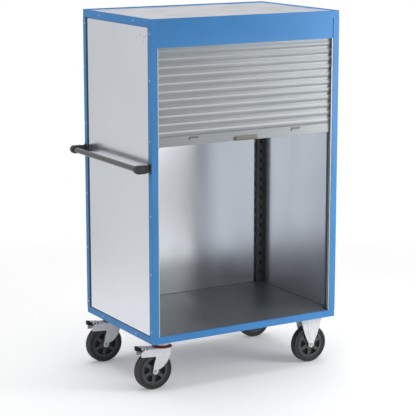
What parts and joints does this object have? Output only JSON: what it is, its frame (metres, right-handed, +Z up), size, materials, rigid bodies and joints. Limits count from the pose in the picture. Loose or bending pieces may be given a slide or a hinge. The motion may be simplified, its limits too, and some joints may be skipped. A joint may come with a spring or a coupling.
{
  "type": "roller shutter cupboard trolley",
  "caption": "Tall steel cupboard on casters with a roller shutter front shown half raised, slotted shelf rails inside, a dark deck and a push handle on one side.",
  "frame": {"origin": "on the floor, under the middle of the part's overall box", "axes": "+Z up, the shutter faces -Y, the push handle and swivel casters are at -X"},
  "size_m": [1.1962, 0.746, 1.89],
  "materials": {
    "frame_paint": "satin",
    "panel_paint": "satin",
    "deck_face": "matte",
    "rail_paint": "satin",
    "guide_zinc": "satin",
    "slat_metal": "satin",
    "fork_zinc": "satin",
    "bolt_steel": "satin",
    "dark_bolt": "satin",
    "handle_paint": "satin",
    "black_plastic": "matte",
    "lock_cover": "matte",
    "tyre_rubber": "matte",
    "hub_plastic": "matte",
    "seal_rubber": "matte",
    "pedal_plastic": "matte",
    "barrel_steel": "satin"
  },
  "bodies": {
    "cabinet": {"base_rail_front": "frame_paint", "base_rail_back": "frame_paint", "base_rail_left": "frame_paint", "base_rail_right": "frame_paint", "upright_front_left": "frame_paint", "upright_front_right": "frame_paint", "upright_back_left": "frame_paint", "upright_back_right": "frame_paint", "top_rail_front": "frame_paint", "top_rail_back": "frame_paint", "top_rail_left": "frame_paint", "top_rail_right": "frame_paint", "fascia_panel": "frame_paint", "base_corner_plates": "frame_paint", "deck_bearers": "frame_paint", "roof_panel": "panel_paint", "side_panel_left": "panel_paint", "side_panel_right": "panel_paint", "back_panel": "panel_paint", "deck_board": "deck_face", "shutter_guides": "guide_zinc", "shelf_rails_front": "rail_paint", "shelf_rails_back": "rail_paint", "frame_rivets": "bolt_steel", "barrel_brackets": "barrel_steel", "bracket_bolts": "dark_bolt", "barrel_shaft": "barrel_steel", "barrel_spring": "barrel_steel", "handle_tube": "handle_paint", "handle_brackets": "black_plastic", "handle_screws": "bolt_steel", "caster_bolts": "bolt_steel", "swivel_heads": "fork_zinc", "swivel_seals": "seal_rubber", "fixed_forks": "fork_zinc", "fixed_axles": "bolt_steel"},
    "roller": {"barrel_tube": "barrel_steel", "barrel_end_caps": "black_plastic", "rolled_slats": "slat_metal"},
    "curtain": {"hanging_slats": "slat_metal"},
    "shutter_bar": {"bottom_bar": "slat_metal", "lock_housing": "lock_cover", "finger_pulls": "slat_metal"},
    "lock_cylinder": {"lock_cylinder": "bolt_steel"},
    "lock_bolt": {"lock_bolt": "bolt_steel"},
    "swivel_front": {"swivel_fork_front": "fork_zinc", "swivel_axle_front": "bolt_steel"},
    "pedal_front": {"brake_pedal_front": "pedal_plastic"},
    "wheel_front_left": {"tyre_front_left": "tyre_rubber", "hub_front_left": "hub_plastic"},
    "wheel_front_right": {"tyre_front_right": "tyre_rubber", "hub_front_right": "hub_plastic"},
    "swivel_back": {"swivel_fork_back": "fork_zinc", "swivel_axle_back": "bolt_steel"},
    "pedal_back": {"brake_pedal_back": "pedal_plastic"},
    "wheel_back_left": {"tyre_back_left": "tyre_rubber", "hub_back_left": "hub_plastic"},
    "wheel_back_right": {"tyre_back_right": "tyre_rubber", "hub_back_right": "hub_plastic"}
  },
  "joints": [
    {"name": "shutter_lower", "type": "slide", "parent": "cabinet", "child": "curtain", "axis": [0, 0, 1], "range_m": [-0.957, 0]},
    {"name": "shutter_raise", "type": "slide", "parent": "curtain", "child": "shutter_bar", "axis": [0, 0, 1], "range_m": [0, 0.41], "deforming": ["hanging_slats"]},
    {"name": "roller_turn", "type": "hinge", "parent": "cabinet", "child": "roller", "pos_m": [0.0439, -0.296, 1.7886], "axis": [1, 0, 0], "range_deg": [0, 1097]},
    {"name": "lock_turn", "type": "hinge", "parent": "shutter_bar", "child": "lock_cylinder", "pos_m": [-0.0221, -0.358, 1.269], "axis": [0, 1, 0], "range_deg": [0, 91]},
    {"name": "lock_bolt_slide", "type": "slide", "parent": "shutter_bar", "child": "lock_bolt", "axis": [0, 0, -1], "range_m": [0, 0.012]},
    {"name": "swivel_turn_front", "type": "hinge", "parent": "cabinet", "child": "swivel_front", "pos_m": [-0.4056, -0.2786, 0.218], "axis": [0, 0, 1], "continuous": true},
    {"name": "brake_press_front", "type": "hinge", "parent": "swivel_front", "child": "pedal_front", "pos_m": [-0.4796, -0.2786, 0.215], "axis": [0, 1, 0], "range_deg": [-6, 0]},
    {"name": "wheel_spin_front_left", "type": "hinge", "parent": "swivel_front", "child": "wheel_front_left", "pos_m": [-0.4601, -0.2786, 0.1], "axis": [0, 1, 0], "continuous": true},
    {"name": "wheel_spin_front_right", "type": "hinge", "parent": "cabinet", "child": "wheel_front_right", "pos_m": [0.4919, -0.2786, 0.1], "axis": [0, 1, 0], "continuous": true},
    {"name": "swivel_turn_back", "type": "hinge", "parent": "cabinet", "child": "swivel_back", "pos_m": [-0.4056, 0.2786, 0.218], "axis": [0, 0, 1], "continuous": true},
    {"name": "brake_press_back", "type": "hinge", "parent": "swivel_back", "child": "pedal_back", "pos_m": [-0.4796, 0.2786, 0.215], "axis": [0, 1, 0], "range_deg": [-6, 0]},
    {"name": "wheel_spin_back_left", "type": "hinge", "parent": "swivel_back", "child": "wheel_back_left", "pos_m": [-0.4601, 0.2786, 0.1], "axis": [0, 1, 0], "continuous": true},
    {"name": "wheel_spin_back_right", "type": "hinge", "parent": "cabinet", "child": "wheel_back_right", "pos_m": [0.4919, 0.2786, 0.1], "axis": [0, 1, 0], "continuous": true}
  ],
  "couplings": [
    {"joint": "roller_turn", "follows": "shutter_lower", "rad_per_m": -20},
    {"joint": "lock_turn", "follows": "lock_bolt_slide", "rad_per_m": 130.9}
  ]
}
